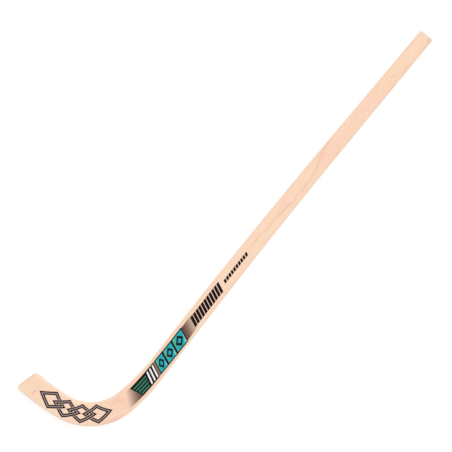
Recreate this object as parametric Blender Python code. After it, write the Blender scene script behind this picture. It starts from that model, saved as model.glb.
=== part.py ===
"""Wooden roller hockey stick for rink hockey, lying on its back face.

One beech board makes the shaft and the blade. Its lower end is sawn lengthwise into tongues, a glued
veneer goes into each saw kerf, and the packet is bent round the heel. Metres, +Z up, +X towards the butt.
"""

import math

import bmesh
import bpy
from mathutils import Vector

# Centreline, from the butt end to the toe
GRIP_LENGTH = 0.270
BOW_LENGTH = 0.537
BOW_ANGLE = math.radians(2.4)
LEAD_LENGTH = 0.091
LEAD_ANGLE = math.radians(13.1)
HEEL_RADIUS = 0.102
HEEL_ANGLE = math.radians(70.8)
BLADE_LENGTH = 0.0854
BLADE_ANGLE = math.radians(10.6)

# Widths across the face; the shaft flares into the blade past its bowed stretch
BUTT_WIDTH = 0.0287
SHAFT_WIDTH = 0.0380
BLADE_WIDTH = 0.0458
TOE_WIDTH = 0.0465
FLARE_LENGTH = 0.207

# Thicknesses, between the two faces
SHAFT_THICKNESS = 0.0185
TOE_THICKNESS = 0.0160

# Rounded edges: along the faces, then at the corners and rims of the two ends
SHAFT_EDGE_RADIUS = 0.0045
BLADE_EDGE_RADIUS = 0.0035
BUTT_CORNER_RADIUS = 0.0030
BUTT_RIM_RADIUS = 0.0020
TOE_CORNER_RADIUS = 0.0080
TOE_RIM_RADIUS = 0.0035
TOE_SLANT = math.radians(10.8)

# Saw kerfs and the veneers glued into them
KERF_COUNT = 7
KERF_LENGTH = 0.372
VENEER_THICKNESS = 0.0014
GLUE_LINE = 0.0003
OUTER_TONGUE = 0.0023

# Fineness of the curves, and the angle past which an edge is shaded sharp
MOST_TURN = math.radians(3.0)
MOST_STEP = 0.070
EDGE_STEPS = 5
END_STEPS = 5
SHARP_ANGLE = math.radians(35.0)

# Share of a section's half width or half thickness that its rounded edges may take
MOST_ROUNDING = 0.95

BEECH = (0.956, 0.680, 0.509)
VENEER = (0.921, 0.638, 0.462)
WOOD_ROUGHNESS = 0.45

# How far a saw cut or a trimmed veneer passes the surface that it crosses
OVERCUT = 0.004

SEGMENTS = (
    (GRIP_LENGTH, 0.0),
    (BOW_LENGTH, BOW_ANGLE),
    (LEAD_LENGTH, -LEAD_ANGLE),
    (HEEL_RADIUS * HEEL_ANGLE, -HEEL_ANGLE),
    (BLADE_LENGTH, -BLADE_ANGLE),
)
FLARE_START = GRIP_LENGTH + BOW_LENGTH
HEEL_START = FLARE_START + LEAD_LENGTH
LENGTH = sum(length for length, turn in SEGMENTS)
KERF_TOP = LENGTH - KERF_LENGTH
KERF_WIDTH = VENEER_THICKNESS + 2 * GLUE_LINE

# How much of the length the rounding of each end takes
BUTT_ROUNDING = max(BUTT_CORNER_RADIUS, BUTT_RIM_RADIUS)
TOE_ROUNDING = max(TOE_CORNER_RADIUS, TOE_RIM_RADIUS)


def centreline(distance):
    """Point and heading on the centreline, this far from the butt end."""
    x, y, heading = 0.0, 0.0, math.pi
    for length, turn in SEGMENTS:
        used = min(distance, length)
        angle = turn * used / length
        chord = used * (math.sin(angle / 2) / (angle / 2) if angle else 1.0)
        x += chord * math.cos(heading + angle / 2)
        y += chord * math.sin(heading + angle / 2)
        heading += angle
        distance -= used
    return Vector((x + distance * math.cos(heading), y + distance * math.sin(heading))), heading


def place(distance, offset, height):
    """Point of the stick: offset is sideways, positive inside the bend, and height is from the mid-plane."""
    point, heading = centreline(distance)
    return Vector((point.x + offset * math.sin(heading), point.y - offset * math.cos(heading), height))


def share(distance, start, length):
    """How much of a stretch is behind this distance, from 0 to 1."""
    return min(max((distance - start) / length, 0.0), 1.0)


def width(distance):
    """Width across the face: a straight taper down the shaft, then a flare that eases into the blade."""
    if distance <= FLARE_START:
        return BUTT_WIDTH + (SHAFT_WIDTH - BUTT_WIDTH) * share(distance, 0.0, FLARE_START)
    flare = 1 - (1 - share(distance, FLARE_START, FLARE_LENGTH)) ** 2
    full = FLARE_START + FLARE_LENGTH
    narrowing = (BLADE_WIDTH - TOE_WIDTH) * share(distance, full, LENGTH - full)
    return SHAFT_WIDTH + (BLADE_WIDTH - SHAFT_WIDTH) * flare - narrowing


def blade_share(distance):
    """0 down to the heel and 1 at the toe, with a smooth start and end."""
    part = share(distance, HEEL_START, LENGTH - HEEL_START)
    return part * part * (3 - 2 * part)


def thickness(distance):
    return SHAFT_THICKNESS + (TOE_THICKNESS - SHAFT_THICKNESS) * blade_share(distance)


def edge_radius(distance):
    return SHAFT_EDGE_RADIUS + (BLADE_EDGE_RADIUS - SHAFT_EDGE_RADIUS) * blade_share(distance)


def cut_back(depth, radius):
    """How far a corner of this radius stands back from the side, at a depth below the end."""
    left = radius - min(depth, radius)
    return radius - math.sqrt(radius * radius - left * left)


def slant(distance):
    """Slope of a cross-section: square down to the heel's end, then turning to the toe's cut."""
    part = share(distance, LENGTH - BLADE_LENGTH, BLADE_LENGTH)
    return math.tan(TOE_SLANT) * part * part


def cross_section(distance):
    """Ring of points round the stick, a rounded rectangle that shrinks into the corners of both ends."""
    to_toe = LENGTH - distance
    half_width = width(distance) / 2
    half_width -= cut_back(distance, BUTT_CORNER_RADIUS) + cut_back(to_toe, TOE_CORNER_RADIUS)
    half_height = thickness(distance) / 2
    half_height -= cut_back(distance, BUTT_RIM_RADIUS) + cut_back(to_toe, TOE_RIM_RADIUS)
    radius = min(edge_radius(distance), MOST_ROUNDING * min(half_width, half_height))
    ring = []
    for quarter in range(4):
        side = 1 if quarter in (0, 3) else -1
        face = 1 if quarter in (0, 1) else -1
        for step in range(EDGE_STEPS + 1):
            angle = math.pi / 2 * (quarter + step / EDGE_STEPS)
            offset = side * (half_width - radius) + radius * math.cos(angle)
            height = face * (half_height - radius) + radius * math.sin(angle)
            ring.append(place(distance - offset * slant(distance), offset, height))
    return ring


def plate_section(distance, offset, thick):
    """Four corners of a plate that stands across the stick and is taller than it."""
    tall = SHAFT_THICKNESS / 2 + OVERCUT
    corners = ((1, 1), (-1, 1), (-1, -1), (1, -1))
    return [place(distance, offset + side * thick / 2, face * tall) for side, face in corners]


def end_depths(radius):
    """Depths of the sections that round an end over this radius."""
    return [radius * (1 - math.cos(math.pi / 2 * step / END_STEPS)) for step in range(END_STEPS + 1)]


def stations():
    """Distances of the cross-sections: close together in the bend and where an end is rounded."""
    found = end_depths(BUTT_ROUNDING)
    found += [LENGTH - depth for depth in end_depths(TOE_ROUNDING)]
    start = 0.0
    for length, turn in SEGMENTS:
        count = math.ceil(max(abs(turn) / MOST_TURN, length / MOST_STEP))
        inner = [start + length * step / count for step in range(count)]
        found += [distance for distance in inner if BUTT_ROUNDING < distance < LENGTH - TOE_ROUNDING]
        start += length
    return sorted(set(found))


def loft(name, rings):
    """Closed solid through a row of rings with equal counts of points."""
    solid = bmesh.new()
    loops = [[solid.verts.new(point) for point in ring] for ring in rings]
    count = len(loops[0])
    for near, far in zip(loops, loops[1:]):
        for index in range(count):
            after = (index + 1) % count
            solid.faces.new((near[index], near[after], far[after], far[index]))
    solid.faces.new(loops[0])
    solid.faces.new(loops[-1])
    bmesh.ops.recalc_face_normals(solid, faces=solid.faces)
    mesh = bpy.data.meshes.new(name)
    solid.to_mesh(mesh)
    solid.free()
    made = bpy.data.objects.new(name, mesh)
    bpy.context.scene.collection.objects.link(made)
    return made


def as_helper(made):
    made.hide_render = True
    made.display_type = "WIRE"
    return made


def combine(made, operation, other):
    modifier = made.modifiers.new(operation.title(), "BOOLEAN")
    modifier.operation = operation
    modifier.object = other
    modifier.solver = "EXACT"


def round_shaded(made):
    made.data.shade_smooth()
    made.data.set_sharp_from_angle(angle=SHARP_ANGLE)


def wood(name, colour):
    material = bpy.data.materials.new(name)
    material.use_nodes = True
    shader = material.node_tree.nodes["Principled BSDF"]
    shader.inputs["Base Color"].default_value = (*colour, 1.0)
    shader.inputs["Roughness"].default_value = WOOD_ROUGHNESS
    shader.inputs["Metallic"].default_value = 0.0
    return material


def kerf_offsets():
    """Sideways places of the kerfs, spread evenly over the narrowest width that they run through."""
    narrowest = min(width(KERF_TOP), TOE_WIDTH)
    reach = narrowest / 2 - OUTER_TONGUE - KERF_WIDTH / 2
    gaps = max(KERF_COUNT - 1, 1)
    return [reach * (2 * index / gaps - 1) for index in range(KERF_COUNT)]


def kerf_plate(name, offset, thick, top):
    """Plate along one kerf, from its closed top to past the toe. Its bends lie between the form's sections."""
    past_toe = LENGTH + TOE_WIDTH / 2 * math.tan(TOE_SLANT) + OVERCUT
    found = stations()
    bends = [(near + far) / 2 for near, far in zip(found, found[1:])]
    inner = [bend for bend in bends if KERF_TOP + OVERCUT < bend < LENGTH - TOE_ROUNDING]
    distances = [top, *inner, past_toe]
    return loft(name, [plate_section(distance, offset, thick) for distance in distances])


def stick_form(name):
    """The whole stick as if it were one solid."""
    return loft(name, [cross_section(distance) for distance in stations()])


def clear_scene():
    for made in list(bpy.data.objects):
        bpy.data.objects.remove(made)


def build():
    clear_scene()
    board = stick_form("beech_board")
    form = as_helper(stick_form("stick_form"))
    beech, veneer_wood = wood("beech", BEECH), wood("veneer", VENEER)
    board.data.materials.append(beech)
    round_shaded(board)
    pieces = [board, form]
    for number, offset in enumerate(kerf_offsets(), start=1):
        kerf = as_helper(kerf_plate(f"kerf_{number}", offset, KERF_WIDTH, KERF_TOP))
        combine(board, "DIFFERENCE", kerf)
        veneer = kerf_plate(f"kerf_veneer_{number}", offset, VENEER_THICKNESS, KERF_TOP + GLUE_LINE)
        combine(veneer, "INTERSECT", form)
        veneer.data.materials.append(veneer_wood)
        pieces += [kerf, veneer]

    # The origin is under the middle of the stick, on the surface that it lies on
    corners = [corner.co for corner in board.data.vertices]
    middle_x = (min(corner.x for corner in corners) + max(corner.x for corner in corners)) / 2
    middle_y = (min(corner.y for corner in corners) + max(corner.y for corner in corners)) / 2
    stick = bpy.data.objects.new("stick", None)
    bpy.context.scene.collection.objects.link(stick)
    stick.location = (-middle_x, -middle_y, SHAFT_THICKNESS / 2)
    for piece in pieces:
        piece.parent = stick


build()
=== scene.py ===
"""Looks of the wooden roller hockey stick, made on the frame of its solids.

Fine meshes of its pieces in lacquered beech, the prints on its upper face, the studio and the camera.
"""

import math
from itertools import accumulate
from typing import NamedTuple

import bmesh
import bpy
from mathutils import Matrix, Vector


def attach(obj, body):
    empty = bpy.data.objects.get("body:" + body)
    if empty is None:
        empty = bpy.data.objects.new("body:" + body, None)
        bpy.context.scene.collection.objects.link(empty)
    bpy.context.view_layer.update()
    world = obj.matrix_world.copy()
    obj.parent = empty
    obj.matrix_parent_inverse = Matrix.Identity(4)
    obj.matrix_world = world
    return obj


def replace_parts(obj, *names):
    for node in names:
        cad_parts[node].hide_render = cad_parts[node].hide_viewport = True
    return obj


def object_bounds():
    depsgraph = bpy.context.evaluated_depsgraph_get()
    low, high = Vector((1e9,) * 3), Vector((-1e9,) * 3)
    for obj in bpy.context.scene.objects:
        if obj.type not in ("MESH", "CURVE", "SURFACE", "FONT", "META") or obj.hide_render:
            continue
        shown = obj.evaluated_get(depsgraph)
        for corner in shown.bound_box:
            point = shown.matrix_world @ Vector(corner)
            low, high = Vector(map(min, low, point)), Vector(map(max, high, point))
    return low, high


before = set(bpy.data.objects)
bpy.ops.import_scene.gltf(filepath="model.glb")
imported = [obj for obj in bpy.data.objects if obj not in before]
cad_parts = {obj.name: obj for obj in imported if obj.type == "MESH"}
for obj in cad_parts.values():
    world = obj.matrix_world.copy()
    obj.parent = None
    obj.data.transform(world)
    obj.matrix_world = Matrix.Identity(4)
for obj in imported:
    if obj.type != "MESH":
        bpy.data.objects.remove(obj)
CAD_LOW, CAD_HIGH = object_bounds()

# Centreline, from the butt end to the toe, as in the solids
GRIP_LENGTH = 0.270
BOW_LENGTH = 0.537
BOW_ANGLE = math.radians(2.4)
LEAD_LENGTH = 0.091
LEAD_ANGLE = math.radians(13.1)
HEEL_RADIUS = 0.102
HEEL_ANGLE = math.radians(70.8)
BLADE_LENGTH = 0.0854
BLADE_ANGLE = math.radians(10.6)

# Widths across the face; the shaft flares into the blade past its bowed stretch
BUTT_WIDTH = 0.0287
SHAFT_WIDTH = 0.0380
BLADE_WIDTH = 0.0458
TOE_WIDTH = 0.0465
FLARE_LENGTH = 0.207

# The smooth outline stays this far inside the solids' outline, whose facets it would bulge over
OUTLINE_INSET = 0.00012

# The faces stay this far inside the solids' faces, which leaves room for the prints
FACE_INSET = 0.00006
SHAFT_THICKNESS = CAD_HIGH.z - CAD_LOW.z - 2 * FACE_INSET
TOE_THINNING = 0.0025

# Rounded edges: along the faces, then at the corners and rims of the two ends
SHAFT_EDGE_RADIUS = 0.0045
BLADE_EDGE_RADIUS = 0.0035
BUTT_CORNER_RADIUS = 0.0030
BUTT_RIM_RADIUS = 0.0020
TOE_CORNER_RADIUS = 0.0080
TOE_SLANT = math.radians(10.8)

# Share of a section's half width or half thickness that its rounded edges may take
MOST_ROUNDING = 0.95

# Saw kerfs, and the hairline that is left beside each veneer
KERF_COUNT = 7
KERF_LENGTH = 0.372
KERF_WIDTH = 0.0020
OUTER_TONGUE = 0.0023
HAIRLINE = 0.00002

# Steps of the fine meshes. Rows closer together than the least step are left out
STRAIGHT_STEP = 0.010
TURN_STEP = math.radians(1.0)
LEAST_STEP = 0.00006
TONGUE_STEPS = 3
SIDE_STEPS = 12
END_STEPS = 8

# Angle past which an edge is shaded sharp
SHARP_ANGLE = math.radians(40.0)

# The mesh rows follow the toe's slanted end over this last stretch
TOE_ZONE = 0.016

# Stretches of the centreline: length, turn
SEGMENTS = (
    (GRIP_LENGTH, 0.0),
    (BOW_LENGTH, BOW_ANGLE),
    (LEAD_LENGTH, -LEAD_ANGLE),
    (HEEL_RADIUS * HEEL_ANGLE, -HEEL_ANGLE),
    (BLADE_LENGTH, -BLADE_ANGLE),
)
FLARE_START = GRIP_LENGTH + BOW_LENGTH
HEEL_START = FLARE_START + LEAD_LENGTH
LENGTH = sum(length for length, turn in SEGMENTS)
KERF_TOP = LENGTH - KERF_LENGTH


def centreline(distance):
    """(x, y, heading) on the centreline, this far from the butt end, before the stick is put in place."""
    x, y, heading = 0.0, 0.0, math.pi
    for length, turn in SEGMENTS:
        used = min(distance, length)
        angle = turn * used / length
        chord = used * (math.sin(angle / 2) / (angle / 2) if angle else 1.0)
        x += chord * math.cos(heading + angle / 2)
        y += chord * math.sin(heading + angle / 2)
        heading += angle
        distance -= used
    return x + distance * math.cos(heading), y + distance * math.sin(heading), heading


def place(distance, offset, height):
    """Point of the stick: offset is sideways, positive inside the bend, and height is from the mid-plane."""
    x, y, heading = centreline(distance)
    return Vector((x + offset * math.sin(heading), y - offset * math.cos(heading), height))


def share(value, start, length):
    """How much of a stretch is behind this value, from 0 to 1."""
    return min(max((value - start) / length, 0.0), 1.0)


def eased(part):
    return part * part * (3 - 2 * part)


def cut_back(depth, radius):
    """How far a corner of this radius stands back from the side, at a depth below the end."""
    left = radius - min(max(depth, 0.0), radius)
    return radius - math.sqrt(radius * radius - left * left)


def half_width(distance):
    """Half the width across the face, with the butt end's rounded corners."""
    if distance <= FLARE_START:
        full = BUTT_WIDTH + (SHAFT_WIDTH - BUTT_WIDTH) * share(distance, 0.0, FLARE_START)
    else:
        flare = 1 - (1 - share(distance, FLARE_START, FLARE_LENGTH)) ** 2
        flare_end = FLARE_START + FLARE_LENGTH
        narrowing = (BLADE_WIDTH - TOE_WIDTH) * share(distance, flare_end, LENGTH - flare_end)
        full = SHAFT_WIDTH + (BLADE_WIDTH - SHAFT_WIDTH) * flare - narrowing
    return full / 2 - OUTLINE_INSET - cut_back(distance, BUTT_CORNER_RADIUS)


def blade_share(distance):
    """0 down to the heel and 1 at the toe, with a smooth start and end."""
    return eased(share(distance, HEEL_START, LENGTH - HEEL_START))


def half_thickness(distance):
    full = SHAFT_THICKNESS - TOE_THINNING * blade_share(distance)
    return full / 2 - cut_back(distance, BUTT_RIM_RADIUS)


def to_slanted_end(distance, offset):
    """How far a point is from the toe's slanted end, square to it."""
    return (LENGTH - offset * math.tan(TOE_SLANT) - distance) * math.cos(TOE_SLANT)


def toe_end(offset):
    """Distance at which the slanted toe ends, at this offset, with its rounded corners."""
    corner = cut_back(half_width(LENGTH) - abs(offset), TOE_CORNER_RADIUS)
    return LENGTH - OUTLINE_INSET - offset * math.tan(TOE_SLANT) - corner


def inset(distance, offset):
    """How far inside the outline of the face a point lies."""
    to_side = half_width(distance) - abs(offset)
    to_toe = to_slanted_end(distance, offset)
    radius = TOE_CORNER_RADIUS
    if to_side < radius and to_toe < radius:
        return radius - math.hypot(radius - to_side, radius - to_toe)
    return min(to_side, to_toe)


def edge_radius(distance):
    radius = SHAFT_EDGE_RADIUS + (BLADE_EDGE_RADIUS - SHAFT_EDGE_RADIUS) * blade_share(distance)
    return min(radius, MOST_ROUNDING * min(half_width(distance), half_thickness(distance)))


def surface(distance, offset):
    """Height of the upper face over the mid-plane, with its rounded edges."""
    return half_thickness(distance) - cut_back(inset(distance, offset), edge_radius(distance))


def kerf_offsets():
    """Sideways places of the kerfs, spread evenly over the narrowest width that they run through."""
    reach = min(half_width(KERF_TOP), TOE_WIDTH / 2) - OUTER_TONGUE - KERF_WIDTH / 2
    return [reach * (2 * index / (KERF_COUNT - 1) - 1) for index in range(KERF_COUNT)]


KERFS = kerf_offsets()
KERF_REACH = KERFS[-1] + KERF_WIDTH / 2
HALF_WIDTH_AT_KERF_TOP = half_width(KERF_TOP)


def sideways(column, distance):
    """Offset of a column: ("inner", offset) follows the kerfs, ("side", sign, part) runs to the side."""
    squeeze = min(half_width(distance) / HALF_WIDTH_AT_KERF_TOP, 1.0) if distance < KERF_TOP else 1.0
    if column[0] == "inner":
        return column[1] * squeeze
    reach = KERF_REACH * squeeze
    room = half_width(distance) - reach
    return column[1] * (reach + room * math.sin(math.pi / 2 * column[2]))


def grid_point(row, column):
    """(distance, offset) of a mesh point. Near the toe the rows turn to follow its slanted, rounded end."""
    offset = sideways(column, row)
    fan = eased(share(row, LENGTH - BLADE_LENGTH, BLADE_LENGTH - TOE_ZONE))
    distance = row - fan * (LENGTH - toe_end(offset))
    if column[0] == "side" and fan > 0:
        offset = sideways(column, distance)
        distance = row - fan * (LENGTH - toe_end(offset))
    return distance, offset


def rows(start):
    """Distances of the mesh rows from start to the toe, close together in the bends and at the ends."""
    found = {KERF_TOP, LENGTH}
    ends = [1 - math.cos(math.pi / 2 * step / END_STEPS) for step in range(END_STEPS + 1)]
    found |= {BUTT_CORNER_RADIUS * part for part in ends}
    found |= {LENGTH - BLADE_EDGE_RADIUS * part for part in ends}
    begin = 0.0
    for length, turn in SEGMENTS:
        count = math.ceil(max(length / STRAIGHT_STEP, abs(turn) / TURN_STEP))
        found |= {begin + length * step / count for step in range(count)}
        begin += length
    inner = sorted(distance for distance in found if start < distance <= LENGTH)
    fixed = (KERF_TOP, LENGTH)
    spread = [start]
    for distance in inner:
        if distance - spread[-1] > LEAST_STEP or distance in fixed:
            spread.append(distance)
    return spread


def find_place():
    """Where the butt end's centre goes, so that the stick lies where the solids do."""
    lowest = min(place(distance, -half_width(distance), 0.0).y for distance in rows(0.0))
    return Vector((CAD_HIGH.x, CAD_LOW.y - lowest, (CAD_LOW.z + CAD_HIGH.z) / 2))


STICK_PLACE = find_place()


def board_columns():
    """The mesh columns of the board, and the pairs of columns that are the walls of a kerf."""
    parts = [1 - step / SIDE_STEPS for step in range(SIDE_STEPS)]
    columns, walls = [("side", 1, part) for part in parts], []
    for index, offset in enumerate(reversed(KERFS)):
        if index:
            before = columns[-1][1]
            step = (before - offset - KERF_WIDTH / 2) / TONGUE_STEPS
            columns += [("inner", before - step * part) for part in range(1, TONGUE_STEPS)]
        walls.append((len(columns), len(columns) + 2))
        columns += plate_columns(offset, KERF_WIDTH / 2)
    columns += [("side", -1, part) for part in reversed(parts)]
    return columns, walls


def plate_columns(offset, half):
    """The two sides and the middle of a kerf or a veneer as mesh columns."""
    return [("inner", offset + half), ("inner", offset), ("inner", offset - half)]


def add_object(name, data):
    made = bpy.data.objects.new(name, data)
    bpy.context.scene.collection.objects.link(made)
    return made


class Build:
    """A mesh in the stick's own coordinates, put in its place at the end.

    Each point keeps where it is in the wood (grain), on the stick (plan: distance, offset, end grain) and
    in the print (print: place in the ink's run of colours, height, how far it is round the edge).
    """

    def __init__(self, grain_shift=(0.0, 0.0, 0.0)):
        self.mesh = bmesh.new()
        self.grain_layer = self.mesh.verts.layers.float_vector.new("grain")
        self.plan_layer = self.mesh.verts.layers.float_vector.new("plan")
        self.print_layer = self.mesh.verts.layers.float_vector.new("print")
        self.shift = Vector(grain_shift)

    def point(self, distance, offset, height, run=0.0):
        made = self.mesh.verts.new(place(distance, offset, height))
        to_toe = to_slanted_end(distance, offset)
        end = max(1 - distance / BUTT_RIM_RADIUS, 1 - to_toe / BLADE_EDGE_RADIUS, 0.0)
        turned = 1 - share(inset(distance, offset), 0.0, edge_radius(distance))
        made[self.grain_layer] = Vector((distance, offset, height)) + self.shift
        made[self.plan_layer] = Vector((distance, offset, min(end, 1.0)))
        made[self.print_layer] = Vector((run, height, turned))
        return made

    def face(self, *corners):
        made = self.mesh.faces.new(corners)
        made.smooth = True

    def object(self, name, material):
        """The finished mesh as an object in the stick's place."""
        loose = [point for point in self.mesh.verts if not point.link_faces]
        bmesh.ops.delete(self.mesh, geom=loose, context="VERTS")
        bmesh.ops.recalc_face_normals(self.mesh, faces=self.mesh.faces)
        data = bpy.data.meshes.new(name)
        self.mesh.to_mesh(data)
        self.mesh.free()
        data.set_sharp_from_angle(angle=SHARP_ANGLE)
        data.materials.append(material)
        made = add_object(name, data)
        data.transform(Matrix.Translation(STICK_PLACE))
        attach(made, "root")
        return made


def lattice(build, distances, columns, walls=(), open_from=LENGTH):
    """Closed body between the upper and the lower face, open between each pair of walls past open_from."""
    upper, lower = {}, {}
    for face, grid in ((1, upper), (-1, lower)):
        for row, distance in enumerate(distances):
            for column, kind in enumerate(columns):
                point = grid_point(distance, kind)
                grid[row, column] = build.point(*point, face * surface(*point))
    last = len(columns) - 1
    end = len(distances) - 1
    gaps = {column for left, right in walls for column in range(left, right)}
    wall_columns = {column for pair in walls for column in pair}
    edges = []
    for row in range(end):
        is_open = distances[row] >= open_from
        for column in range(last):
            if is_open and column in gaps:
                continue
            ring = ((row, column), (row, column + 1), (row + 1, column + 1), (row + 1, column))
            for grid in (upper, lower):
                build.face(*(grid[corner] for corner in ring))
        standing = {0, last} | (wall_columns if is_open else set())
        edges += [((row, column), (row + 1, column)) for column in standing]
    closed = [(0, column) for column in range(last)]
    closed += [(end, column) for column in range(last) if column not in gaps]
    closed += [(distances.index(open_from), column) for column in gaps]
    edges += [((row, column), (row, column + 1)) for row, column in closed]
    for first, second in edges:
        build.face(upper[first], upper[second], lower[second], lower[first])


# Colour sockets of the mix node, whose other sockets of the same names are for numbers and vectors
MIX_FIRST = 6
MIX_SECOND = 7
MIX_RESULT = 2


class Noise(NamedTuple):
    """A noise: its scale per metre along, across and through the wood, and the range where it sets in."""

    scale: tuple
    low: float = 0.0
    high: float = 1.0
    detail: float = 2.0
    roughness: float = 0.5


class Nodes:
    """Short calls for the nodes of one material."""

    def __init__(self, name):
        self.material = bpy.data.materials.new(name)
        self.material.use_nodes = True
        self.tree = self.material.node_tree
        self.shader = self.tree.nodes["Principled BSDF"]
        self.grain = self.attribute("grain")

    def feed(self, socket, value):
        if isinstance(value, bpy.types.NodeSocket):
            self.tree.links.new(value, socket)
        else:
            socket.default_value = value

    def add(self, kind, inputs=(), **settings):
        made = self.tree.nodes.new(kind)
        for name, value in settings.items():
            setattr(made, name, value)
        for key, value in dict(inputs).items():
            self.feed(made.inputs[key], value)
        return made

    def math(self, operation, *values):
        return self.add("ShaderNodeMath", dict(enumerate(values)), operation=operation).outputs[0]

    def product(self, first, *others):
        for value in others:
            first = self.math("MULTIPLY", first, value)
        return first

    def ramp(self, value, low, high, to_low=0.0, to_high=1.0, kind="LINEAR"):
        """Runs from to_low to to_high while value runs from low to high, and holds past both."""
        inputs = {"Value": value, "From Min": low, "From Max": high, "To Min": to_low, "To Max": to_high}
        return self.add("ShaderNodeMapRange", inputs, interpolation_type=kind).outputs[0]

    def smooth(self, *values):
        """A ramp that starts and ends smoothly."""
        return self.ramp(*values, kind="SMOOTHSTEP")

    def window(self, value, start, end, soft):
        """1 between start and end, with soft edges outside."""
        rise = self.smooth(value, start - soft, start)
        return self.product(rise, self.smooth(value, end, end + soft, 1.0, 0.0))

    def attribute(self, name):
        return self.add("ShaderNodeAttribute", attribute_name=name).outputs["Vector"]

    def split(self, vector):
        return self.add("ShaderNodeSeparateXYZ", {0: vector}).outputs

    def stretched(self, vector, scale):
        return self.add("ShaderNodeVectorMath", {0: vector, 1: scale}, operation="MULTIPLY").outputs[0]

    def noise(self, vector, kind):
        """A noise from 0 to 1."""
        inputs = {"Vector": self.stretched(vector, kind.scale), "Scale": 1.0}
        inputs |= {"Detail": kind.detail, "Roughness": kind.roughness}
        return self.add("ShaderNodeTexNoise", inputs).outputs["Fac"]

    def patches(self, vector, kind, to_low=0.0, to_high=1.0):
        """A noise as a smooth step over its range."""
        return self.smooth(self.noise(vector, kind), kind.low, kind.high, to_low, to_high)

    def mix(self, part, first, second, blend="MIX"):
        inputs = {"Factor": part, MIX_FIRST: first, MIX_SECOND: second}
        return self.add("ShaderNodeMix", inputs, data_type="RGBA", blend_type=blend).outputs[MIX_RESULT]


class WoodNodes(Nodes):
    """The nodes of a wood, with the numbers that each of its points keeps."""

    def __init__(self, name):
        super().__init__(name)
        self.plan = self.attribute("plan")
        self.distance, self.offset, self.end = self.split(self.plan)
        self.height, self.turned = self.split(self.attribute("print"))[1:]


def grey(level):
    return level, level, level, 1.0


# Colours, linear
BEECH = (0.956, 0.674, 0.498, 1.0)
BEECH_PINK = (0.956, 0.632, 0.472, 1.0)
BEECH_YELLOW = (0.948, 0.678, 0.446, 1.0)
BEECH_CLOUD = (0.930, 0.570, 0.415, 1.0)
BEECH_STREAK = (0.800, 0.490, 0.330, 1.0)
BEECH_FLECK = (0.620, 0.350, 0.220, 1.0)
END_GRAIN = (0.740, 0.470, 0.310, 1.0)
GLUE = (0.660, 0.410, 0.250, 1.0)
FADE = (0.045, 0.009, 0.010, 1.0)
INK_BLACK = (0.009, 0.004, 0.0045, 1.0)
INK_LILAC = (0.470, 0.360, 0.380, 1.0)
INK_TEAL = (0.018, 0.410, 0.460, 1.0)
INK_GREEN = (0.170, 0.530, 0.210, 1.0)
INK_STRIPE = (0.060, 0.270, 0.105, 1.0)
INK_CYAN = (0.520, 0.860, 0.860, 1.0)
INK_WHITE = (0.900, 0.930, 0.940, 1.0)
INK_DEEP = (0.006, 0.085, 0.088, 1.0)

# Factors on the wood's colour: the blade is creamier past this stretch, and rounded edges get painted light
# against their shade
CREAMY_START = 0.925
CREAMY_FULL = 1.000
CREAMY = (1.008, 1.045, 1.045, 1.0)
EDGE_LIGHT_PAINT = (1.028, 1.080, 1.090, 1.0)
BOARD_TINT = 1.0
VENEER_TINT = 0.985

# Gloss of the lacquered wood and of the ink, whose fibres make it uneven
WOOD_SPECULAR = 0.50
INK_SPECULAR = 0.06
WOOD_COAT = 0.25
INK_COAT = 0.0
LACQUER_IOR = 1.45
COAT_IOR = 1.48
COAT_ROUGHNESS = 0.22
WOOD_ROUGHNESS = (0.40, 0.52)
INK_ROUGHNESS = (0.36, 0.46)
GLOSS_RANGE = (0.20, 0.80)

# Relief of the fibres, and how much deeper the ray flecks lie
RELIEF = 0.0001
RELIEF_STRENGTH = 0.10
RAY_DEPTH = 0.5

# Patterns of the wood, and of the ink that is worn along its fibres
PINK = Noise((11, 45, 45), 0.34, 0.66)
YELLOW = Noise((26, 60, 60), 0.42, 0.74, detail=1)
WANDER = Noise((5, 50, 50), detail=3)
RING_PATCHES = Noise((9, 90, 90), 0.35, 0.70)
FIBRE = Noise((26, 1500, 1500), 0.45, 0.85, detail=3, roughness=0.6)
PORES = Noise((300, 5200, 5200), 0.35, 0.75, detail=1)
RAGGED = Noise((90, 700, 0), detail=3, roughness=0.65)
STREAKS = Noise((60, 2600, 0), 0.30, 0.70)
SWAY = Noise((42, 0, 0))
BREAKS = Noise((34, 0, 0), 0.34, 0.62, detail=1)
DUST = Noise((900, 900, 0), 0.20, 0.80)
WORN = Noise((30, 1300, 1300), 0.30, 0.80, detail=3, roughness=0.6)

# How strongly each is mixed in; where there are two numbers, they belong to the ends of the noise's range
YELLOW_SHARE = 0.60
RING_SHARE = 0.16
END_RING_SHARE = 0.50
FIBRE_SHARE = 0.24
RAY_SHARE = 0.30
PORE_SHARES = (0.30, 0.85)
STREAK_SHARES = (0.55, 1.35)
BREAK_SHARES = (0.10, 0.45)
DUST_SHARES = (0.94, 1.00)
WORN_SHADES = (0.94, 1.06)
CLOUD_SHARE = 0.60
MARK_SHARE = 0.50
GLUE_SHARE = 0.28
FADE_SHARE = 0.97

# Growth rings round a pith that lies far under the face, a little to one side, and runs slightly aslant
RING_WIDTH = 0.0036
RING_WANDER = 0.0042
PITH_ASIDE = 0.004
PITH_ASIDE_SLOPE = 0.012
PITH_DEPTH = 0.046
PITH_DEPTH_SLOPE = 0.028

# Parts of a ring's width at which its late wood sets in and is darkest
LATE_START = 0.35
LATE_END = 0.93

# Ray flecks: cells of the wood, of which a part is left out, and the soft rim of a fleck in its cell
RAY_SCALE = (420, 1500, 130)
RAYS_LEFT_OUT = 0.45
RAY_RIM = (0.14, 0.34)

# Parts of the turn round a rounded edge at which its painted light is strongest and at which the side begins
EDGE_PALEST = 0.75
SIDE_BEGINS = 0.92

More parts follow.
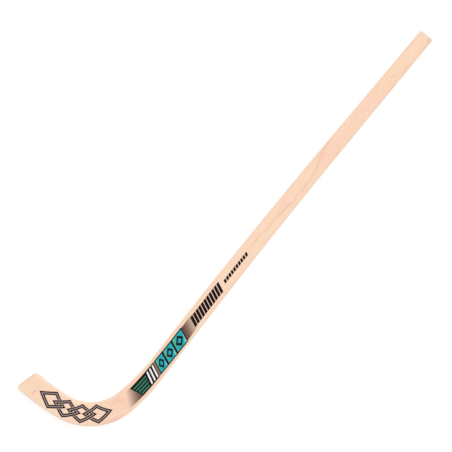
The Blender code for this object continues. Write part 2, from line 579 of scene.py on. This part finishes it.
# The glue line's half width and its soft rims: beside it, at the outer kerfs and at the kerfs' tops
GLUE_HALF = 0.00006
GLUE_SOFT = 0.00010
GLUE_SIDE_SOFT = 0.0003
GLUE_TOP_SOFT = 0.0002

# The band that the panels and their fade share: its middle sways a little and its cross lines lean
LEAN = 0.45
BAND_MIDDLE = -0.0005
BAND_SWAY = 0.00085
BAND_CREST = 0.8220
BAND_WAVE = 0.1640
BAND_HALF = 0.0133

# The dark fade printed round the panels, which is a little paler in the gap between them
FADE_LEAN = 0.55
FADE_HALF = 0.0118
FADE_SPREAD = 0.013
FADE_SOFT = 0.05
FADE_START = 0.6910
FADE_FULL = 0.7260
FADE_LEAVES = 0.8600
FADE_END = 0.8930
FADE_DARKEST = 0.24
FADE_CURVE = 2.2
GAP_START = 0.8040
GAP_END = 0.8140
GAP_SOFT = 0.0040
GAP_PALER = 0.35

# The dark grain line near the shaft's middle, in metres along and across
LINE_START = 0.278
LINE_FALLEN = 0.353
LINE_END = 0.520
LINE_HIGH = 0.0130
LINE_LOW = -0.0055
LINE_TURN = 0.400
LINE_SLOPE = 0.075
LINE_SWAY = 0.0030
LINE_HALF = 0.0013
LINE_SOFT = 0.020
HALO_HALF = 0.0060
HALO_STRENGTH = 0.14

# Heights over the mid-plane between which the marks of the upper face fade out on the stick's sides
MARKS_FADE = (0.0020, 0.0070)

# Where a mark has faded out: the square of the distance from its middle, in its own half sizes
MARK_RIM = 1.4

# Darker butt corner, then dark flecks of the wood: distance, offset, half length, half width, slope,
# strength
FLECKS = (
    (0.0040, -0.0100, 0.008, 0.0050, 0.0, 0.60),
    (0.0200, -0.0130, 0.004, 0.0015, 0.0, 0.60),
    (0.0512, 0.0030, 0.003, 0.0013, -0.8, 0.45),
    (0.0810, 0.0050, 0.003, 0.0013, -0.8, 0.30),
    (0.0985, -0.0010, 0.008, 0.0014, 0.35, 0.75),
    (0.1080, 0.0060, 0.005, 0.0020, 0.0, 0.30),
    (0.1148, -0.0125, 0.007, 0.0014, 0.0, 0.70),
    (0.1270, -0.0110, 0.006, 0.0020, 0.0, 0.30),
    (0.1431, 0.0060, 0.004, 0.0016, 0.4, 0.50),
    (0.1825, -0.0028, 0.004, 0.0013, 0.5, 0.50),
    (0.1885, -0.0008, 0.005, 0.0012, 0.0, 0.35),
    (0.2790, -0.0120, 0.003, 0.0014, 0.0, 0.70),
    (0.3215, 0.0008, 0.013, 0.0018, -0.12, 0.65),
    (0.3560, -0.0050, 0.005, 0.0014, 0.3, 0.60),
    (0.3640, -0.0040, 0.006, 0.0014, -0.15, 0.80),
    (0.3920, -0.0025, 0.005, 0.0018, 0.7, 0.50),
    (0.4250, -0.0037, 0.022, 0.0017, 0.06, 0.90),
    (0.4670, -0.0010, 0.006, 0.0014, 0.0, 0.50),
    (0.4775, 0.0010, 0.004, 0.0014, 0.5, 0.55),
    (0.4915, 0.0055, 0.005, 0.0028, 0.4, 0.35),
    (0.5030, 0.0030, 0.009, 0.0016, 0.0, 0.75),
    (0.9070, 0.0090, 0.014, 0.0017, 0.33, 0.70),
    (1.0830, -0.0090, 0.003, 0.0070, 0.0, 0.70),
)

# Reddish clouds of the wood, given in the same way
CLOUDS = (
    (0.0160, -0.0070, 0.014, 0.0070, 0.0, 0.50),
    (0.0660, 0.0050, 0.010, 0.0060, 0.0, 0.30),
    (0.0730, -0.0080, 0.016, 0.0060, 0.0, 0.80),
    (0.1310, 0.0090, 0.008, 0.0040, 0.0, 0.50),
    (0.2850, -0.0020, 0.030, 0.0100, 0.0, 0.45),
    (0.3020, 0.0075, 0.022, 0.0050, -0.28, 1.00),
    (0.4050, -0.0080, 0.012, 0.0040, 0.0, 0.50),
    (0.4260, 0.0000, 0.024, 0.0065, 0.0, 0.85),
    (0.4650, 0.0040, 0.014, 0.0060, 0.0, 0.40),
    (0.8640, 0.0160, 0.028, 0.0040, 0.0, 0.70),
    (0.9050, 0.0070, 0.018, 0.0100, 0.3, 1.00),
    (0.9340, -0.0180, 0.026, 0.0048, 0.0, 1.40),
)


def drifting_beech(nodes):
    """The beech's ground colour, which drifts slowly to pink and to yellow."""
    colour = nodes.mix(nodes.patches(nodes.grain, PINK), BEECH, BEECH_PINK)
    return nodes.mix(nodes.patches(nodes.grain, YELLOW, 0.0, YELLOW_SHARE), colour, BEECH_YELLOW)


def late_wood(nodes):
    """How strongly the dark part of each growth ring shows: in patches on the faces, evenly on the ends."""
    along, across, through = nodes.split(nodes.grain)
    side = nodes.math("ADD", across, nodes.math("MULTIPLY_ADD", along, PITH_ASIDE_SLOPE, PITH_ASIDE))
    depth = nodes.math("ADD", through, nodes.math("MULTIPLY_ADD", along, PITH_DEPTH_SLOPE, PITH_DEPTH))
    squares = nodes.math("ADD", nodes.product(side, side), nodes.product(depth, depth))
    wander = nodes.noise(nodes.grain, WANDER)
    radius = nodes.math("MULTIPLY_ADD", wander, RING_WANDER, nodes.math("SQRT", squares))
    ring = nodes.math("FRACT", nodes.math("DIVIDE", radius, RING_WIDTH))
    darkening = nodes.smooth(ring, LATE_START, LATE_END)
    late = nodes.product(darkening, nodes.smooth(ring, LATE_END, 1.0, 1.0, 0.0))
    patches = nodes.math("MAXIMUM", nodes.patches(nodes.grain, RING_PATCHES), nodes.end)
    strength = nodes.math("MULTIPLY_ADD", nodes.end, END_RING_SHARE - RING_SHARE, RING_SHARE)
    return nodes.product(late, nodes.product(patches, strength))


def ray_flecks(nodes):
    """1 on the ray flecks: spindles on the face, taller patches on the sides."""
    inputs = {"Vector": nodes.stretched(nodes.grain, RAY_SCALE), "Scale": 1.0, "Randomness": 1.0}
    cells = nodes.add("ShaderNodeTexVoronoi", inputs)
    keep = nodes.math("GREATER_THAN", nodes.split(cells.outputs["Color"])[0], RAYS_LEFT_OUT)
    return nodes.product(nodes.smooth(cells.outputs["Distance"], *RAY_RIM, 1.0, 0.0), keep)


def end_grain(nodes):
    """How strongly the end grain shows on the two ends, most in its open pores."""
    return nodes.product(nodes.end, nodes.patches(nodes.grain, PORES, *PORE_SHARES))


def painted_edge_light(nodes):
    """Painted light against the shade of the rounded edges: 1 on them, 0 on the flat faces, the sides and
    the ends.
    """
    leaving = nodes.smooth(nodes.turned, SIDE_BEGINS, 1.0, 1.0, 0.0)
    shown = nodes.product(nodes.smooth(nodes.turned, 0.0, EDGE_PALEST), leaving)
    return nodes.product(shown, nodes.math("SUBTRACT", 1.0, nodes.end))


def spots(nodes, places):
    """How strongly the oval spots of a list show on the upper face, streaked and with ragged rims."""
    ragged = nodes.math("MULTIPLY_ADD", nodes.noise(nodes.plan, RAGGED), 2.0, -1.0)
    shown = 0.0
    for distance, offset, half_long, half_wide, slope, strength in places:
        forward = nodes.math("SUBTRACT", nodes.distance, distance)
        aside = nodes.math("MULTIPLY_ADD", forward, -slope, nodes.math("SUBTRACT", nodes.offset, offset))
        long_part = nodes.math("DIVIDE", forward, half_long)
        wide_part = nodes.math("DIVIDE", aside, half_wide)
        away = nodes.math("ADD", nodes.product(long_part, long_part), nodes.product(wide_part, wide_part))
        away = nodes.math("ADD", away, ragged)
        shown = nodes.math("MAXIMUM", shown, nodes.smooth(away, 0.0, MARK_RIM, strength, 0.0))
    streaks = nodes.patches(nodes.plan, STREAKS, *STREAK_SHARES)
    return nodes.product(shown, streaks, nodes.smooth(nodes.height, *MARKS_FADE))


def grain_line(nodes):
    """How strongly the one dark, broken grain line shows. It falls across the shaft, then climbs slowly."""
    path = nodes.smooth(nodes.distance, LINE_START, LINE_FALLEN, LINE_HIGH, LINE_LOW)
    climb = nodes.math("MAXIMUM", nodes.math("SUBTRACT", nodes.distance, LINE_TURN), 0.0)
    path = nodes.math("MULTIPLY_ADD", climb, LINE_SLOPE, path)
    sway = nodes.math("SUBTRACT", nodes.noise(nodes.plan, SWAY), 0.5)
    path = nodes.math("MULTIPLY_ADD", sway, LINE_SWAY, path)
    away = nodes.math("ABSOLUTE", nodes.math("SUBTRACT", nodes.offset, path))
    core = nodes.smooth(away, 0.0, LINE_HALF, 1.0, 0.0)
    halo = nodes.smooth(away, 0.0, HALO_HALF, HALO_STRENGTH, 0.0)
    line = nodes.math("MULTIPLY_ADD", core, nodes.patches(nodes.plan, BREAKS, *BREAK_SHARES), halo)
    return nodes.product(line, nodes.window(nodes.distance, LINE_START, LINE_END, LINE_SOFT))


def glue_lines(nodes):
    """1 on the thin glue lines beside each veneer."""
    half_pitch = (KERFS[1] - KERFS[0]) / 2
    to_kerf = nodes.math("PINGPONG", nodes.math("SUBTRACT", nodes.offset, KERFS[0]), half_pitch)
    away = nodes.math("ABSOLUTE", nodes.math("SUBTRACT", to_kerf, KERF_WIDTH / 2))
    shown = nodes.smooth(away, GLUE_HALF, GLUE_HALF + GLUE_SOFT, 1.0, 0.0)
    aside = nodes.math("ABSOLUTE", nodes.offset)
    in_reach = nodes.smooth(aside, KERF_REACH, KERF_REACH + GLUE_SIDE_SOFT, 1.0, 0.0)
    below_top = nodes.smooth(nodes.distance, KERF_TOP - GLUE_TOP_SOFT, KERF_TOP)
    return nodes.product(shown, in_reach, below_top)


def printed_fade(nodes):
    """How dark the printed fade is: crisp along its sides, soft at both ends, on the upper face only."""
    turn = nodes.product(nodes.math("SUBTRACT", nodes.distance, BAND_CREST), 2 * math.pi / BAND_WAVE)
    middle = nodes.math("MULTIPLY_ADD", nodes.math("COSINE", turn), BAND_SWAY, BAND_MIDDLE)
    aside = nodes.math("SUBTRACT", nodes.offset, middle)
    along = nodes.math("MULTIPLY_ADD", aside, FADE_LEAN, nodes.distance)
    rise = nodes.ramp(along, FADE_START, FADE_FULL)
    fall = nodes.ramp(along, FADE_LEAVES, FADE_END, 1.0, 0.0)
    half = nodes.math("MULTIPLY_ADD", nodes.distance, FADE_SPREAD, FADE_HALF - FADE_SPREAD * FADE_FULL)
    inside = nodes.window(nodes.math("DIVIDE", aside, half), -1.0, 1.0, FADE_SOFT)
    upper = nodes.math("GREATER_THAN", nodes.height, 0.0)
    part = nodes.product(nodes.product(rise, fall), nodes.product(inside, upper))
    paler = nodes.product(nodes.window(along, GAP_START, GAP_END, GAP_SOFT), -GAP_PALER)
    part = nodes.math("MULTIPLY_ADD", part, paler, part)
    dust = nodes.patches(nodes.plan, DUST, *DUST_SHARES)
    bright = nodes.math("MULTIPLY_ADD", nodes.product(part, dust), FADE_DARKEST - 1, 1.0)
    return nodes.math("SUBTRACT", 1.0, nodes.math("POWER", bright, FADE_CURVE))


def lacquer(nodes, roughness, specular, coat):
    """Satin lacquer over bare wood, or the matt face of ink."""
    inputs = {
        "Roughness": roughness,
        "IOR": LACQUER_IOR,
        "Specular IOR Level": specular,
        "Coat Weight": coat,
        "Coat Roughness": COAT_ROUGHNESS,
        "Coat IOR": COAT_IOR,
    }
    for name, value in inputs.items():
        nodes.feed(nodes.shader.inputs[name], value)


def beech(name, tint):
    """Lacquered beech with its marks, glue lines and the printed fade. tint is a factor on its colour."""
    nodes = WoodNodes(name)
    fibre = nodes.noise(nodes.grain, FIBRE)
    rays = ray_flecks(nodes)
    fade = printed_fade(nodes)
    marks = nodes.math("MAXIMUM", grain_line(nodes), spots(nodes, FLECKS))

    colour = drifting_beech(nodes)
    colour = nodes.mix(late_wood(nodes), colour, BEECH_STREAK)
    colour = nodes.mix(nodes.smooth(fibre, FIBRE.low, FIBRE.high, 0.0, FIBRE_SHARE), colour, BEECH_STREAK)
    colour = nodes.mix(nodes.product(rays, RAY_SHARE), colour, BEECH_FLECK)
    colour = nodes.mix(end_grain(nodes), colour, END_GRAIN)
    colour = nodes.mix(nodes.smooth(nodes.distance, CREAMY_START, CREAMY_FULL), colour, CREAMY, "MULTIPLY")
    # Painted light: the rounded edges are made paler where their turn would shade them
    colour = nodes.mix(painted_edge_light(nodes), colour, EDGE_LIGHT_PAINT, "MULTIPLY")
    colour = nodes.mix(nodes.product(spots(nodes, CLOUDS), CLOUD_SHARE), colour, BEECH_CLOUD)
    colour = nodes.mix(nodes.product(marks, MARK_SHARE), colour, BEECH_FLECK)
    colour = nodes.mix(nodes.product(glue_lines(nodes), GLUE_SHARE), colour, GLUE)
    colour = nodes.mix(1.0, colour, grey(tint), "MULTIPLY")
    colour = nodes.mix(nodes.product(fade, FADE_SHARE), colour, FADE)
    nodes.feed(nodes.shader.inputs["Base Color"], colour)

    specular = nodes.math("MULTIPLY_ADD", fade, INK_SPECULAR - WOOD_SPECULAR, WOOD_SPECULAR)
    coat = nodes.math("MULTIPLY_ADD", fade, INK_COAT - WOOD_COAT, WOOD_COAT)
    lacquer(nodes, nodes.smooth(fibre, *GLOSS_RANGE, *WOOD_ROUGHNESS), specular, coat)
    height = nodes.math("MULTIPLY_ADD", rays, -RAY_DEPTH, fibre)
    inputs = {"Strength": RELIEF_STRENGTH, "Distance": RELIEF, "Height": height}
    nodes.feed(nodes.shader.inputs["Normal"], nodes.add("ShaderNodeBump", inputs).outputs[0])
    return nodes.material


def ink(name, *stops):
    """Printed ink, through which the wood's fibres show a little. Each stop of its run is (part, colour)."""
    nodes = Nodes(name)
    run = nodes.split(nodes.attribute("print"))[0]
    tone = stops[0][1]
    for before, after in zip(stops, stops[1:]):
        tone = nodes.mix(nodes.ramp(run, before[0], after[0]), tone, after[1])
    fibre = nodes.noise(nodes.grain, WORN)
    worn = nodes.smooth(fibre, WORN.low, WORN.high, *WORN_SHADES)
    shade = nodes.add("ShaderNodeCombineColor", {0: worn, 1: worn, 2: worn}).outputs[0]
    nodes.feed(nodes.shader.inputs["Base Color"], nodes.mix(1.0, tone, shade, "MULTIPLY"))
    lacquer(nodes, nodes.smooth(fibre, *GLOSS_RANGE, *INK_ROUGHNESS), INK_SPECULAR, INK_COAT)
    return nodes.material


# Shift of a veneer's place in the wood from that of the veneer before it, and of the first from the board's
VENEER_SHIFT = (0.31, 0.05, 0.02)


def make_wood():
    board_wood, veneer_wood = beech("beech", BOARD_TINT), beech("beech_veneer", VENEER_TINT)
    build = Build()
    columns, walls = board_columns()
    lattice(build, rows(0.0), columns, walls, KERF_TOP)
    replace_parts(build.object("board", board_wood), "beech_board")
    for number, offset in enumerate(KERFS, start=1):
        build = Build(grain_shift=[part * number for part in VENEER_SHIFT])
        lattice(build, rows(KERF_TOP + HAIRLINE), plate_columns(offset, KERF_WIDTH / 2 - HAIRLINE))
        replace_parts(build.object(f"veneer_{number}", veneer_wood), f"kerf_veneer_{number}")


# A print's film: how far it stands over the face and reaches under it, and its steps along and across
PRINT_LIFT = 0.00005
PRINT_SINK = 0.00006
PRINT_STEP = 0.0020
RUN_STEPS = 4

# Points of a print that agree to this many digits of a metre are one
SAME_DIGITS = 7


def quad_grid(corners, strips):
    """Points of a quad in rows, divided along its first and third side and, into strips, the other way."""
    a, b, c, d = (Vector(corner) for corner in corners)
    steps = math.ceil(max((b - a).length, (c - d).length) / PRINT_STEP)
    grid = []
    for strip in range(strips + 1):
        start, end = a.lerp(d, strip / strips), b.lerp(c, strip / strips)
        grid.append([start.lerp(end, step / steps) for step in range(steps + 1)])
    return grid


def add_shape(build, quads, run):
    """One shape of a film: quads on both of its sides, joined where they meet, and the rim round them."""
    strips = RUN_STEPS if run else 1
    upper, lower, edges = {}, {}, {}

    def key_of(point):
        """Key of a point, which is made on both sides of the film when it is first met."""
        distance, offset = point
        key = (round(distance, SAME_DIGITS), round(offset, SAME_DIGITS))
        if key not in upper:
            high = surface(distance, offset)
            place_in_run = run(distance, offset) if run else 0.0
            upper[key] = build.point(distance, offset, high + PRINT_LIFT, place_in_run)
            lower[key] = build.point(distance, offset, high - PRINT_SINK, place_in_run)
        return key

    for corners in quads:
        grid = [[key_of(point) for point in line] for line in quad_grid(corners, strips)]
        for near, far in zip(grid, grid[1:]):
            for step in range(len(near) - 1):
                ring = (near[step], near[step + 1], far[step + 1], far[step])
                build.face(*(upper[key] for key in ring))
                build.face(*(lower[key] for key in reversed(ring)))
                for edge in zip(ring, ring[1:] + ring[:1]):
                    edges.setdefault(frozenset(edge), []).append(edge)
    for start, end in (found[0] for found in edges.values() if len(found) == 1):
        build.face(upper[start], upper[end], lower[end], lower[start])


def film(name, material, shapes, run=None):
    """A thin printed film. Shapes are lists of quads of (distance, offset) corners.

    A quad is divided so that it follows the stick's bend. run gives each point's place in the ink's run of
    colours, for which a quad is divided the other way too.
    """
    build = Build()
    for quads in shapes:
        add_shape(build, quads, run)
    build.object(name, material)


def band_middle(distance):
    return BAND_MIDDLE + BAND_SWAY * math.cos(2 * math.pi * (distance - BAND_CREST) / BAND_WAVE)


def in_band(along, part):
    """(distance, offset) of a point of the printed band: part is its share of the band's half width."""
    height = part * BAND_HALF
    distance = along - LEAN * height
    return distance, band_middle(distance) + height


def leaning(start, end, low=-1.0, high=1.0, splay=0.0):
    """Corners of a leaning shape in the printed band, low and high as parts of its half.

    splay turns the side at its end, and moves it by this much at the band's edges.
    """
    return [
        in_band(start, high),
        in_band(end + splay * high, high),
        in_band(end + splay * low, low),
        in_band(start, low),
    ]


def ring_of(outer, inner):
    """The mitred sides between two outlines with the same count of corners."""
    count = len(outer)
    return [(outer[i], outer[(i + 1) % count], inner[(i + 1) % count], inner[i]) for i in range(count)]


def between(first, second, part=0.5):
    """Point at this part of the way from one point to another."""
    return tuple(a + (b - a) * part for a, b in zip(first, second))


def with_middles(corners):
    """The corners of an outline with the middles of its sides between them."""
    found = []
    for corner, after in zip(corners, corners[1:] + corners[:1]):
        found += [corner, between(corner, after)]
    return found


# The chain of woven diamonds on the blade. A diamond's lines are given from its outer edge inwards
DIAMONDS = 4
CHAIN_MIDDLE = 1.001
CHAIN_PITCH = 0.0306
DIAMOND_LONG = 0.0300
DIAMOND_HIGH = 0.0187
DIAMOND_INRADIUS = DIAMOND_LONG * DIAMOND_HIGH / math.hypot(DIAMOND_LONG, DIAMOND_HIGH)
DARK_LINE = 0.0026
PALE_LINE = 0.0014
CROSSING_GAP = 0.0005


def diamond_point(middle, part, corner):
    """Corner of a diamond shrunk to this part: 0 right, 1 top, 2 left, 3 bottom."""
    angle = math.pi / 2 * corner
    return middle + DIAMOND_LONG * part * math.cos(angle), DIAMOND_HIGH * part * math.sin(angle)


def crossing(middle, neighbour, own, other, side):
    """Where a side of a diamond at part own meets a side of its neighbour at part other."""
    across = side * DIAMOND_HIGH / 2 * (own + other - CHAIN_PITCH / DIAMOND_LONG)
    towards = math.copysign(1.0, neighbour - middle)
    return (middle + neighbour) / 2 + towards * DIAMOND_LONG / 2 * (own - other), across


def diamond_chain(outer, inner, ring_end):
    """One line of every diamond as quads, from part outer to part inner, woven with its neighbours.

    A diamond passes under the one before it on the upper side, and under the one after it on the lower side.
    Its neighbours' rings reach inwards to part ring_end.
    """
    middles = [CHAIN_MIDDLE + CHAIN_PITCH * (index - (DIAMONDS - 1) / 2) for index in range(DIAMONDS)]
    gap = CROSSING_GAP / DIAMOND_INRADIUS
    shapes = []
    for index, middle in enumerate(middles):
        quads = []
        for corner in range(4):
            rails = [
                [diamond_point(middle, part, corner + step) for step in (0, 1)]
                for part in (outer, inner)
            ]
            neighbour = index + 1 if corner == 3 else index - 1
            is_under = corner in (1, 3) and 0 <= neighbour < DIAMONDS
            if not is_under:
                quads.append((rails[0][0], rails[0][1], rails[1][1], rails[1][0]))
                continue
            side = 1 if corner == 1 else -1
            first, last = (
                [crossing(middle, middles[neighbour], own, other, side) for own in (outer, inner)]
                for other in (1 + gap, ring_end - gap)
            )
            quads.append((rails[0][0], first[0], first[1], rails[1][0]))
            quads.append((last[0], rails[0][1], rails[1][1], last[1]))
        shapes.append(quads)
    return shapes


def make_diamonds(black):
    lines = accumulate((DARK_LINE, PALE_LINE, DARK_LINE), initial=0.0)
    rim, pale_start, pale_end, ring_end = (1 - line / DIAMOND_INRADIUS for line in lines)
    dark = diamond_chain(rim, pale_start, ring_end) + diamond_chain(pale_end, ring_end, ring_end)
    film("print_diamonds", black, dark)
    film("print_inlines", ink("ink_lilac", (0.0, INK_LILAC)), diamond_chain(pale_start, pale_end, ring_end))


# The bars and the small dashes on the shaft
BAR_COUNT = 11
BARS_START = 0.6130
BARS_END = 0.7005
BAR_HALF = 0.0096
THIN_BAR = 0.0063
THICK_BAR = 0.0067
DASH_COUNT = 10
DASHES_START = 0.5335
DASHES_END = 0.6045
DASH_HALF = 0.0033
DASH_SHARE = 0.78


def bar(start, wide, half):
    """A leaning bar on the shaft's middle."""
    corners = ((start, half), (start + wide, half), (start + wide, -half), (start, -half))
    return [[(along - LEAN * height, height) for along, height in corners]]


def make_bars(black):
    """The bars, which get a little wider towards the blade, and the dashes."""
    pitch = (BARS_END - BARS_START) / BAR_COUNT
    bars = []
    for index in range(BAR_COUNT):
        wide = THIN_BAR + (THICK_BAR - THIN_BAR) * index / (BAR_COUNT - 1)
        bars.append(bar(BARS_START + pitch * (index + 0.5) - wide / 2, wide, BAR_HALF))
    film("print_bars", black, bars)
    pitch = (DASHES_END - DASHES_START) / DASH_COUNT
    starts = [DASHES_START + pitch * index for index in range(DASH_COUNT)]
    film("print_dashes", black, [bar(start, pitch * DASH_SHARE, DASH_HALF) for start in starts])


# The panels on the lower shaft, with lengths along the band and heights as parts of its half
PANEL_EDGE = 0.0022
PANEL_RIM = 0.84

# Three teal panels, each with a dark rhombus whose core is teal again. The ink runs mostly along a panel
TEAL_START = 0.7270
TEAL_WIDTHS = (0.0310, 0.0270, 0.0230)
TEAL_SPANS = list(zip(accumulate(TEAL_WIDTHS, initial=TEAL_START), TEAL_WIDTHS))
TEAL_STOPS = ((0.0, INK_GREEN), (0.35, INK_TEAL), (0.75, INK_TEAL), (1.0, INK_CYAN))
RUN_ACROSS = 0.22
RHOMBUS = 0.84
RHOMBUS_CORE = 0.40

# One panel of white bars and one of pinstripes, with a splayed far side. Cuts are parts of a stripe's pitch
WHITE_START = 0.8120
WHITE_WIDTH = 0.0260
STRIPED_WIDTH = 0.0310
STRIPED_SPLAY = 0.0110
STRIPED_START = WHITE_START + WHITE_WIDTH
STRIPED_END = STRIPED_START + STRIPED_WIDTH
WHITE_BARS = 3
WHITE_SHARE = 0.45
STRIPES = 4
STRIPE_CUTS = (0.0, 0.18, 0.46, 0.64, 1.0)


def teal_panel(start, wide):
    """The frame, the teal field round the rhombus, the dark rhombus and its teal core."""
    field = leaning(start + PANEL_EDGE, start + wide - PANEL_EDGE, -PANEL_RIM, PANEL_RIM)
    outline = with_middles(field)
    tips = outline[1::2]
    centre = between(tips[0], tips[2])
    rhombus, core = ([between(centre, tip, part) for tip in tips] for part in (RHOMBUS, RHOMBUS_CORE))
    inner = with_middles(rhombus)
    teal = ring_of(outline, inner[-1:] + inner[:-1])
    return ring_of(leaning(start, start + wide), field), teal, ring_of(rhombus, core), [core]


def teal_run(distance, offset):
    """Place of a point in the run of colours of its teal panel."""
    height = offset - band_middle(distance)
    along = distance + LEAN * height
    start, wide = [span for span in TEAL_SPANS if span[0] < along][-1]
    return (1 - RUN_ACROSS) * (1 - (along - start) / wide) + RUN_ACROSS * (0.5 - height / BAND_HALF / 2)


def white_bars():
    """The white bars, and the dark ones after them."""
    pitch = (WHITE_WIDTH - PANEL_EDGE) / WHITE_BARS
    white, dark = [], []
    for index in range(WHITE_BARS):
        start = WHITE_START + PANEL_EDGE + pitch * index
        turn = start + pitch * WHITE_SHARE
        white.append([leaning(start, turn, -PANEL_RIM, PANEL_RIM)])
        dark.append([leaning(turn, start + pitch, -PANEL_RIM, PANEL_RIM)])
    return white, dark


def pinstripes():
    """The stripes along the band: deep, green and deep again, then dark."""
    pitch = 2 * PANEL_RIM / STRIPES
    deep, green, dark = [], [], []
    for index in range(STRIPES):
        cuts = [-PANEL_RIM + pitch * (index + cut) for cut in STRIPE_CUTS]
        for target, (low, high) in zip((deep, green, deep, dark), zip(cuts, cuts[1:])):
            target.append([leaning(STRIPED_START, STRIPED_END - PANEL_EDGE, low, high, STRIPED_SPLAY)])
    return deep, green, dark


def make_panels(black):
    """The leaning panels in their black frames."""
    teal_frames, teal, rhombi, cores = zip(*(teal_panel(start, wide) for start, wide in TEAL_SPANS))
    white, white_gaps = white_bars()
    deep, green, stripe_gaps = pinstripes()
    outer = leaning(WHITE_START, STRIPED_END, splay=STRIPED_SPLAY)
    inner = leaning(WHITE_START + PANEL_EDGE, STRIPED_END - PANEL_EDGE, -PANEL_RIM, PANEL_RIM, STRIPED_SPLAY)
    frames = [[quad for ring in teal_frames for quad in ring], ring_of(outer, inner)]
    film("print_frames", black, [*frames, *rhombi, *white_gaps, *stripe_gaps])
    teal_ink = ink("ink_teal", *TEAL_STOPS)
    film("print_teal", teal_ink, teal, teal_run)
    film("print_cores", teal_ink, cores, teal_run)
    film("print_white", ink("ink_white", (0.0, INK_WHITE)), white)
    film("print_deep", ink("ink_deep", (0.0, INK_DEEP)), deep)
    film("print_stripes", ink("ink_green", (0.0, INK_STRIPE)), green)


def make_prints():
    black = ink("ink_black", (0.0, INK_BLACK))
    make_diamonds(black)
    make_bars(black)
    make_panels(black)


# Studio: the sky and the sun together light the upper face at the level at which a colour renders as written
SKY_LEVEL = 0.68
SUN_LEVEL = 0.31
SUN_ANGLE = math.radians(30.0)
SUN_HEIGHT = math.radians(70.0)
SUN_AZIMUTH = math.radians(4.0)

# Floor: its half size, how white it lights the stick, and, seen directly, its level and shadow's share of it
FLOOR_HALF = 30.0
FLOOR_BOUNCE = 0.92
FLOOR_LEVEL = 1.02
SHADOW_SHARE = 0.22


def seen_rays(tree):
    """1 for what the camera sees, directly, in a reflection or through glass, and 0 for what only lights."""
    path = tree.nodes.new("ShaderNodeLightPath")
    seen = path.outputs["Is Camera Ray"]
    for name in ("Is Glossy Ray", "Is Transmission Ray"):
        either = tree.nodes.new("ShaderNodeMath")
        either.operation = "MAXIMUM"
        tree.links.new(seen, either.inputs[0])
        tree.links.new(path.outputs[name], either.inputs[1])
        seen = either.outputs[0]
    return seen


def make_world():
    """White where it is seen, and the sky's level where it only lights."""
    world = bpy.data.worlds.new("studio")
    bpy.context.scene.world = world
    world.use_nodes = True
    nodes, links = world.node_tree.nodes, world.node_tree.links
    background = nodes["Background"]
    background.inputs["Color"].default_value = grey(1.0)
    strength = nodes.new("ShaderNodeMapRange")
    strength.inputs["To Min"].default_value = SKY_LEVEL
    strength.inputs["To Max"].default_value = 1.0
    links.new(seen_rays(world.node_tree), strength.inputs["Value"])
    links.new(strength.outputs[0], background.inputs["Strength"])


def make_sun():
    """Large, soft sun high over the butt end's side."""
    lamp = bpy.data.lights.new("sun", "SUN")
    lamp.energy = SUN_LEVEL * math.pi / math.sin(SUN_HEIGHT)
    lamp.angle = SUN_ANGLE
    made = add_object("sun", lamp)
    flat_part = math.cos(SUN_HEIGHT)
    x, y = flat_part * math.cos(SUN_AZIMUTH), flat_part * math.sin(SUN_AZIMUTH)
    towards = Vector((x, y, math.sin(SUN_HEIGHT)))
    made.rotation_euler = towards.to_track_quat("Z", "Y").to_euler()


def make_floor():
    """White floor. Seen directly it keeps part of the shadow, and the rest of its white is its own glow."""
    material = bpy.data.materials.new("floor")
    material.use_nodes = True
    nodes, links = material.node_tree.nodes, material.node_tree.links
    nodes.clear()
    bounce = nodes.new("ShaderNodeBsdfDiffuse")
    bounce.inputs["Color"].default_value = grey(FLOOR_BOUNCE)
    shaded = nodes.new("ShaderNodeBsdfDiffuse")
    shaded.inputs["Color"].default_value = grey(SHADOW_SHARE)
    glow = nodes.new("ShaderNodeEmission")
    glow.inputs["Strength"].default_value = FLOOR_LEVEL - SHADOW_SHARE
    seen = nodes.new("ShaderNodeAddShader")
    choose = nodes.new("ShaderNodeMixShader")
    out = nodes.new("ShaderNodeOutputMaterial")
    links.new(shaded.outputs[0], seen.inputs[0])
    links.new(glow.outputs[0], seen.inputs[1])
    links.new(seen_rays(material.node_tree), choose.inputs[0])
    links.new(bounce.outputs[0], choose.inputs[1])
    links.new(seen.outputs[0], choose.inputs[2])
    links.new(choose.outputs[0], out.inputs[0])
    mesh = bpy.data.meshes.new("floor")
    corners = [(x * FLOOR_HALF, y * FLOOR_HALF, CAD_LOW.z) for x, y in ((-1, -1), (1, -1), (1, 1), (-1, 1))]
    mesh.from_pydata(corners, [], [(0, 1, 2, 3)])
    mesh.materials.append(material)
    floor = add_object("floor", mesh)


# The photograph: its size, its scale on the stick's face, the butt end's centre in it and the shaft's angle
PHOTO_PIXELS = 452
METRES_PER_PIXEL = 0.001889
BUTT_PIXEL = (426.267, 34.764)
SHAFT_ANGLE = math.radians(50.234)
LENS = 600.0
SENSOR = 36.0


def make_camera():
    """Looks straight down, from so far that the face has the photograph's scale."""
    data = bpy.data.cameras.new("camera")
    data.lens = LENS
    data.sensor_width = SENSOR
    camera = add_object("camera", data)
    turn = Matrix.Rotation(-SHAFT_ANGLE, 3, "Z")
    right, up = turn @ Vector((1, 0, 0)), turn @ Vector((0, 1, 0))
    butt = STICK_PLACE + Vector((0, 0, SHAFT_THICKNESS / 2))
    centre = (PHOTO_PIXELS - 1) / 2
    across = (centre - BUTT_PIXEL[0]) * METRES_PER_PIXEL
    upward = (BUTT_PIXEL[1] - centre) * METRES_PER_PIXEL
    away = LENS / SENSOR * PHOTO_PIXELS * METRES_PER_PIXEL
    camera.location = butt + right * across + up * upward + Vector((0, 0, away))
    camera.rotation_euler = (0.0, 0.0, -SHAFT_ANGLE)
    bpy.context.scene.camera = camera


make_wood()
make_prints()
make_world()
make_sun()
make_floor()
make_camera()
bpy.context.scene.view_settings.view_transform = "Standard"
